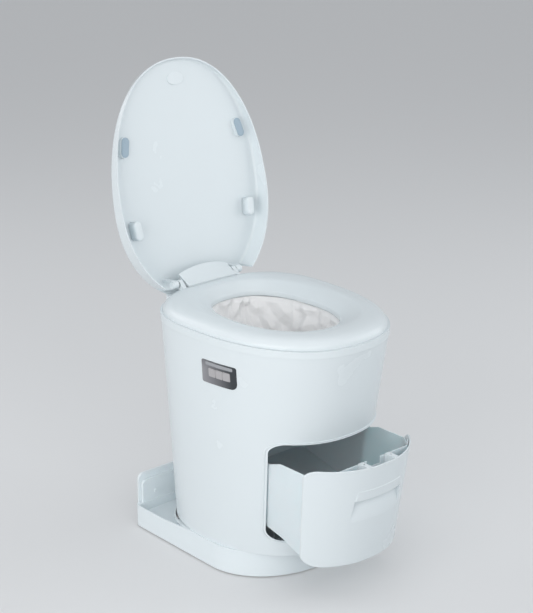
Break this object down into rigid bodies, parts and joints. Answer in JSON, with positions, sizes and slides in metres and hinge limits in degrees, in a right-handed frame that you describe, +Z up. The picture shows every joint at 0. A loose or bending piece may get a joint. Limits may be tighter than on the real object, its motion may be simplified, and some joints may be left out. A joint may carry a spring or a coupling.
{
  "type": "sealing toilet",
  "caption": "Free-standing dry toilet that seals waste in film: egg-shaped body with hinged seat and lid, film bowl, sealing jaws and a pull-out drawer on a stepped base.",
  "frame": {"origin": "on the floor under the middle of the body", "axes": "+Z up, the front of the toilet and its drawer face -Y, the user's right and the control panel are at -X"},
  "size_m": [0.3849, 0.6225, 0.9723],
  "materials": {
    "white_shell": "cool white, satin gloss",
    "base_plastic": "cool white, fine satin",
    "pad_rubber": "grey-blue, matte",
    "white_rubber": "white, matte",
    "foot_rubber": "black, matte",
    "bin_plastic": "pale blue-grey, satin",
    "panel_grey": "dark grey, satin",
    "button_grey": "pale grey, satin",
    "lamp_lens": "smoked lens",
    "board": "green board",
    "frame_plastic": "mid grey, matte",
    "film": "translucent grey-white film",
    "steel": "plain steel",
    "aluminium": "milled",
    "motor_metal": "dark, satin",
    "roller_rubber": "black, matte",
    "nylon": "natural nylon"
  },
  "bodies": {
    "housing": {"base_tray": "base_plastic", "base_feet": "foot_rubber", "rear_rail": "base_plastic", "rail_screws": "steel", "body_shell": "white_shell", "opening_trim": "white_shell", "seat_deck": "white_shell", "hinge_brackets": "base_plastic", "hinge_cover": "white_shell", "hinge_pins": "steel", "hinge_caps": "base_plastic", "drawer_ramp": "base_plastic", "control_bezel": "panel_grey", "status_light": "lamp_lens", "control_board": "board", "bowl_guide": "frame_plastic", "film_cassette": "frame_plastic", "film_pack": "film", "film_liner": "film", "chassis_plate": "frame_plastic", "chassis_screws": "steel", "jaw_frame": "frame_plastic", "guide_rods": "steel", "fixed_jaw": "aluminium", "heating_strip": "steel", "motor_bracket": "steel", "jaw_motor": "motor_metal", "roller_motor": "motor_metal", "battery_box": "motor_metal", "power_inlet": "panel_grey"},
    "seat": {"seat_ring": "white_shell", "seat_buffers": "white_rubber"},
    "lid": {"lid_shell": "white_shell", "front_lid_pads": "pad_rubber", "rear_lid_pads": "white_rubber", "lid_oval_plate": "white_shell"},
    "drawer": {"drawer_front": "white_shell", "drawer_bin": "bin_plastic", "drawer_brackets": "base_plastic", "drawer_glides": "nylon"},
    "front_button": {"button_front": "button_grey"},
    "middle_button": {"button_middle": "button_grey"},
    "rear_button": {"button_rear": "button_grey"},
    "jaw": {"moving_jaw": "aluminium", "pressure_strip": "pad_rubber", "jaw_rack": "nylon"},
    "pinion": {"jaw_pinion": "nylon"},
    "front_roller": {"feed_roller_front": "roller_rubber"},
    "rear_roller": {"feed_roller_rear": "roller_rubber"}
  },
  "joints": [
    {"name": "seat_hinge", "type": "hinge", "parent": "housing", "child": "seat", "pos_m": [0, 0.17335, 0.5291], "axis": [-1, 0, 0], "range_deg": [0, 102]},
    {"name": "lid_hinge", "type": "hinge", "parent": "housing", "child": "lid", "pos_m": [0, 0.17335, 0.5291], "axis": [-1, 0, 0], "range_deg": [-103, 0]},
    {"name": "drawer_slide", "type": "slide", "parent": "housing", "child": "drawer", "axis": [0, -0.9774, -0.2116], "range_m": [-0.09925, 0.08]},
    {"name": "jaw_slide", "type": "slide", "parent": "housing", "child": "jaw", "axis": [0, 1, 0], "range_m": [0, 0.0174]},
    {"name": "pinion_turn", "type": "hinge", "parent": "housing", "child": "pinion", "pos_m": [0.023, -0.06, 0.354], "axis": [1, 0, 0], "range_deg": [0, 99.89]},
    {"name": "front_roller_turn", "type": "hinge", "parent": "housing", "child": "front_roller", "pos_m": [0, -0.012, 0.358], "axis": [1, 0, 0], "continuous": true},
    {"name": "rear_roller_turn", "type": "hinge", "parent": "housing", "child": "rear_roller", "pos_m": [0, 0.012, 0.358], "axis": [1, 0, 0], "continuous": true},
    {"name": "front_button_press", "type": "slide", "parent": "housing", "child": "front_button", "axis": [1, 0, 0], "range_m": [0, 0.001], "stiffness_N_per_m": 800, "springref_m": -0.0005},
    {"name": "middle_button_press", "type": "slide", "parent": "housing", "child": "middle_button", "axis": [1, 0, 0], "range_m": [0, 0.001], "stiffness_N_per_m": 800, "springref_m": -0.0005},
    {"name": "rear_button_press", "type": "slide", "parent": "housing", "child": "rear_button", "axis": [1, 0, 0], "range_m": [0, 0.001], "stiffness_N_per_m": 800, "springref_m": -0.0005}
  ],
  "couplings": [
    {"joint": "pinion_turn", "follows": "jaw_slide", "rad_per_m": 100},
    {"joint": "rear_roller_turn", "follows": "front_roller_turn", "ratio": -1}
  ]
}
